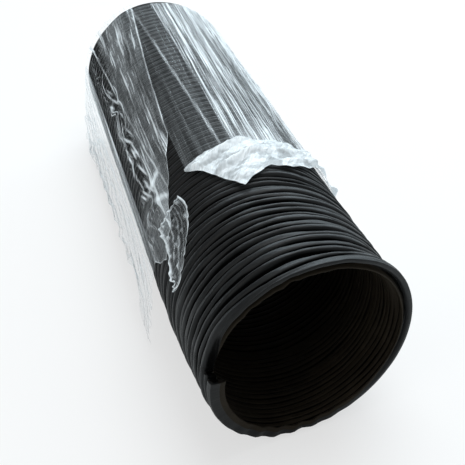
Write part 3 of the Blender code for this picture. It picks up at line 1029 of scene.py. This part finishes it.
def lay_film(name, node, grid, place, finish):
    """One sheet of film, on the rear of the hose."""
    columns, rows = grid
    piece = film_sheet(name, columns, rows, place, finish)
    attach(piece, "root")
    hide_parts(node)


def make_film():
    smooth = stretch_film(
        "smooth stretch film",
        across_scale=1000.0,
        along_scale=5.0,
        width=0.80,
        slant=0.02,
        relief=0.0008,
    )
    glinting = stretch_film(
        "glinting stretch film",
        across_scale=560.0,
        along_scale=9.0,
        width=0.80,
        relief=0.0010,
        sparse=0.085,
        short=5.0,
    )
    crushed = stretch_film(
        "crushed stretch film",
        across_scale=420.0,
        along_scale=90.0,
        width=0.7,
        slant=0.6,
        relief=0.0030,
    )
    lay_film(
        "film_over_top", "film_sleeve", (190, 200), sleeve_place, smooth
    )
    lay_film(
        "film_torn_edge",
        "film_front_gather",
        (180, 70),
        gather_place,
        crushed,
    )
    lay_film(
        "film_strip", "film_left_strip", (90, 260), strip_place, glinting
    )
    lay_film("film_skirt", "film_side_skirt", (60, 200), skirt_place, smooth)
    lay_film("film_loose_tail", "film_tail", (44, 120), tail_place, glinting)


# ---------------------------------------------------------------- stage, light and camera


FLOOR_CORNERS = ((-4, -4), (4, -4), (4, 6), (-4, 6))
SKY_COLOUR = (0.86, 0.90, 0.92)
SKY_STRENGTH = 0.34
# Name, place, the point that it faces, size, power and colour.
LIGHTS = (
    ("back", (0.7, 1.5, 1.0), (0, 0, 0.05), (2.2, 1.0), 25.0, (0.76, 0.91, 1.0)),
    ("overhead", (0.2, 0.1, 1.3), (0, 0, 0.05), (1.0, 1.0), 10.0, (0.95, 0.98, 1.0)),
    ("front left", (-1.0, -0.9, 0.7), (0, -0.1, 0.05), (0.7, 0.7), 2.8, (1.0, 0.95, 0.88)),
)
# The camera, as fitted to the outline of the hose: its lens in millimetres, its place in rib
# radii, and how it is tilted and turned in radians.
CAMERA_LENS = 79.18
CAMERA_SENSOR = 36
CAMERA_SIDE = -2.317
CAMERA_BACK = -6.966  # from the plane that it was fitted from
CAMERA_HEIGHT = 6.215
CAMERA_DROP = 0.0012  # in metres
CAMERA_TILT = 0.514
CAMERA_TURN = -0.243
FIT_PLANE = FREE_END - BEAD_RADIUS


def make_stage():
    bm = bmesh.new()
    for x, y in FLOOR_CORNERS:
        bm.verts.new((x, y, 0))
    bm.faces.new(bm.verts)
    mesh = bpy.data.meshes.new("floor")
    bm.to_mesh(mesh)
    bm.free()
    mesh.materials.append(floor_white("white floor"))
    add_object("floor", mesh)


def area_light(name, place, target, size, power, colour):
    lamp = bpy.data.lights.new(name, "AREA")
    lamp.shape = "RECTANGLE"
    lamp.size, lamp.size_y = size
    lamp.energy = power
    lamp.color = colour
    holder = bpy.data.objects.new(name, lamp)
    bpy.context.scene.collection.objects.link(holder)
    holder.location = place
    holder.rotation_euler = (Vector(target) - Vector(place)).to_track_quat("-Z", "Y").to_euler()


def make_light():
    world = bpy.data.worlds.new("studio")
    bpy.context.scene.world = world
    world.use_nodes = True
    graph = Graph(world.node_tree)
    path = graph.add("ShaderNodeLightPath")
    seen = path.out("Is Camera Ray").math("MAXIMUM", path.out("Is Transmission Ray"))
    background = world.node_tree.nodes["Background"]
    # The camera sees plain white, and the object gets a weaker light from it.
    link(graph, graph.colour_mix(seen, SKY_COLOUR, (1, 1, 1)), background, "Color")
    link(graph, SKY_STRENGTH + seen * (1 - SKY_STRENGTH), background, "Strength")
    for light in LIGHTS:
        area_light(*light)


def make_camera():
    lens = bpy.data.cameras.new("photograph")
    lens.lens = CAMERA_LENS
    lens.sensor_width = CAMERA_SENSOR
    camera = bpy.data.objects.new("photograph", lens)
    bpy.context.scene.collection.objects.link(camera)
    camera.location = (
        CAMERA_SIDE * BEAD_RADIUS,
        FIT_PLANE + CAMERA_BACK * BEAD_RADIUS,
        CAMERA_HEIGHT * BEAD_RADIUS - CAMERA_DROP,
    )
    camera.rotation_euler = (math.pi / 2 - CAMERA_TILT, 0, CAMERA_TURN)
    bpy.context.scene.camera = camera


make_camera()
# Each fabric's groove colour is painted shade in its grooves.
cover_finish = coated_fabric(
    "black coated fabric",
    worn_colour=(0.0170, 0.0176, 0.0182),
    crest_colour=(0.0072, 0.0079, 0.0085),
    groove_shade_colour=(0.0007, 0.0007, 0.0008),
    crest_rough=0.42,
    groove_rough=0.8,
    shine=0.24,
)
liner_finish = coated_fabric(
    "black inner fabric",
    worn_colour=(0.037, 0.029, 0.019),
    crest_colour=(0.0195, 0.0152, 0.0100),
    groove_shade_colour=(0.0016, 0.0012, 0.0008),
    crest_rough=0.70,
    groove_rough=0.9,
    shine=0.12,
)
make_wall((cover_finish, liner_finish))
make_film()
make_stage()
make_light()
bpy.context.scene.view_settings.view_transform = "Standard"
